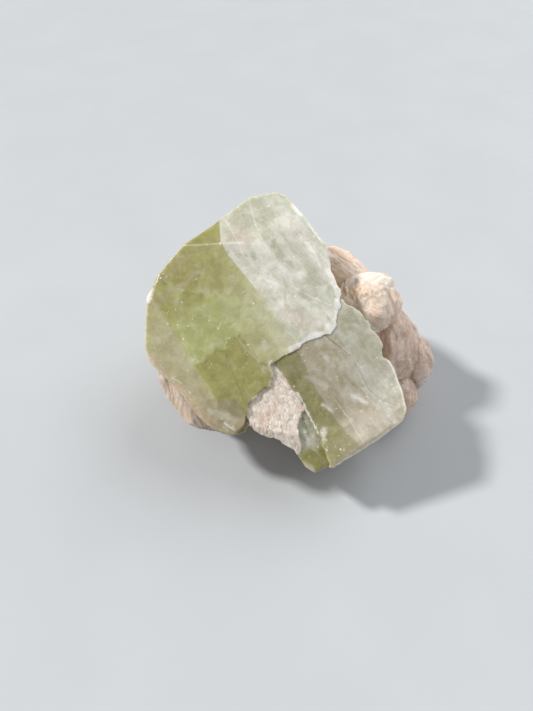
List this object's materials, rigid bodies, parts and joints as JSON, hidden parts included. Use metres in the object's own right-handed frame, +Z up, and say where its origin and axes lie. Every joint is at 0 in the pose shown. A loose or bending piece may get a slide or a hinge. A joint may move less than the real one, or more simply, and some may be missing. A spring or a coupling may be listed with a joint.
{
  "type": "apophyllite crystal cluster",
  "caption": "Blocky translucent green and colourless apophyllite crystals in parallel growth on peach stilbite sheaves, resting on a flat underside.",
  "frame": {"origin": "middle of the bounding box in plan, at the level of the flat underside", "axes": "+Z up from the flat underside, -Y towards the side that the big crystal faces slope down to, +X towards the stilbite sheaves on the right"},
  "size_m": [0.0616, 0.0546, 0.0403],
  "materials": {
    "green_apophyllite": "translucent, glassy crystal faces with milky veils",
    "colourless_apophyllite": "translucent, glassy and milky, with a white chipped rim",
    "zoned_apophyllite": "translucent, glassy, with a green growth zone along one side",
    "peach_stilbite": "silky to pearly fibrous sheaves",
    "mauve_stilbite": "silky fibrous sheaves, duller and greyer",
    "cream_stilbite": "silky radiating fibres with a pearly sheen"
  },
  "bodies": {
    "root": {"green_crystal": "green_apophyllite", "pale_crystal": "colourless_apophyllite", "lower_crystal": "zoned_apophyllite", "tip_crystal": "green_apophyllite", "spur_crystal": "green_apophyllite", "stilbite_ball": "peach_stilbite", "stilbite_upper_sheaf": "peach_stilbite", "stilbite_right_sheaf": "mauve_stilbite", "stilbite_far_blade": "mauve_stilbite", "stilbite_right_tail": "mauve_stilbite", "stilbite_front_patch": "cream_stilbite", "stilbite_left_rim": "peach_stilbite", "stilbite_base": "mauve_stilbite"}
  },
  "joints": []
}
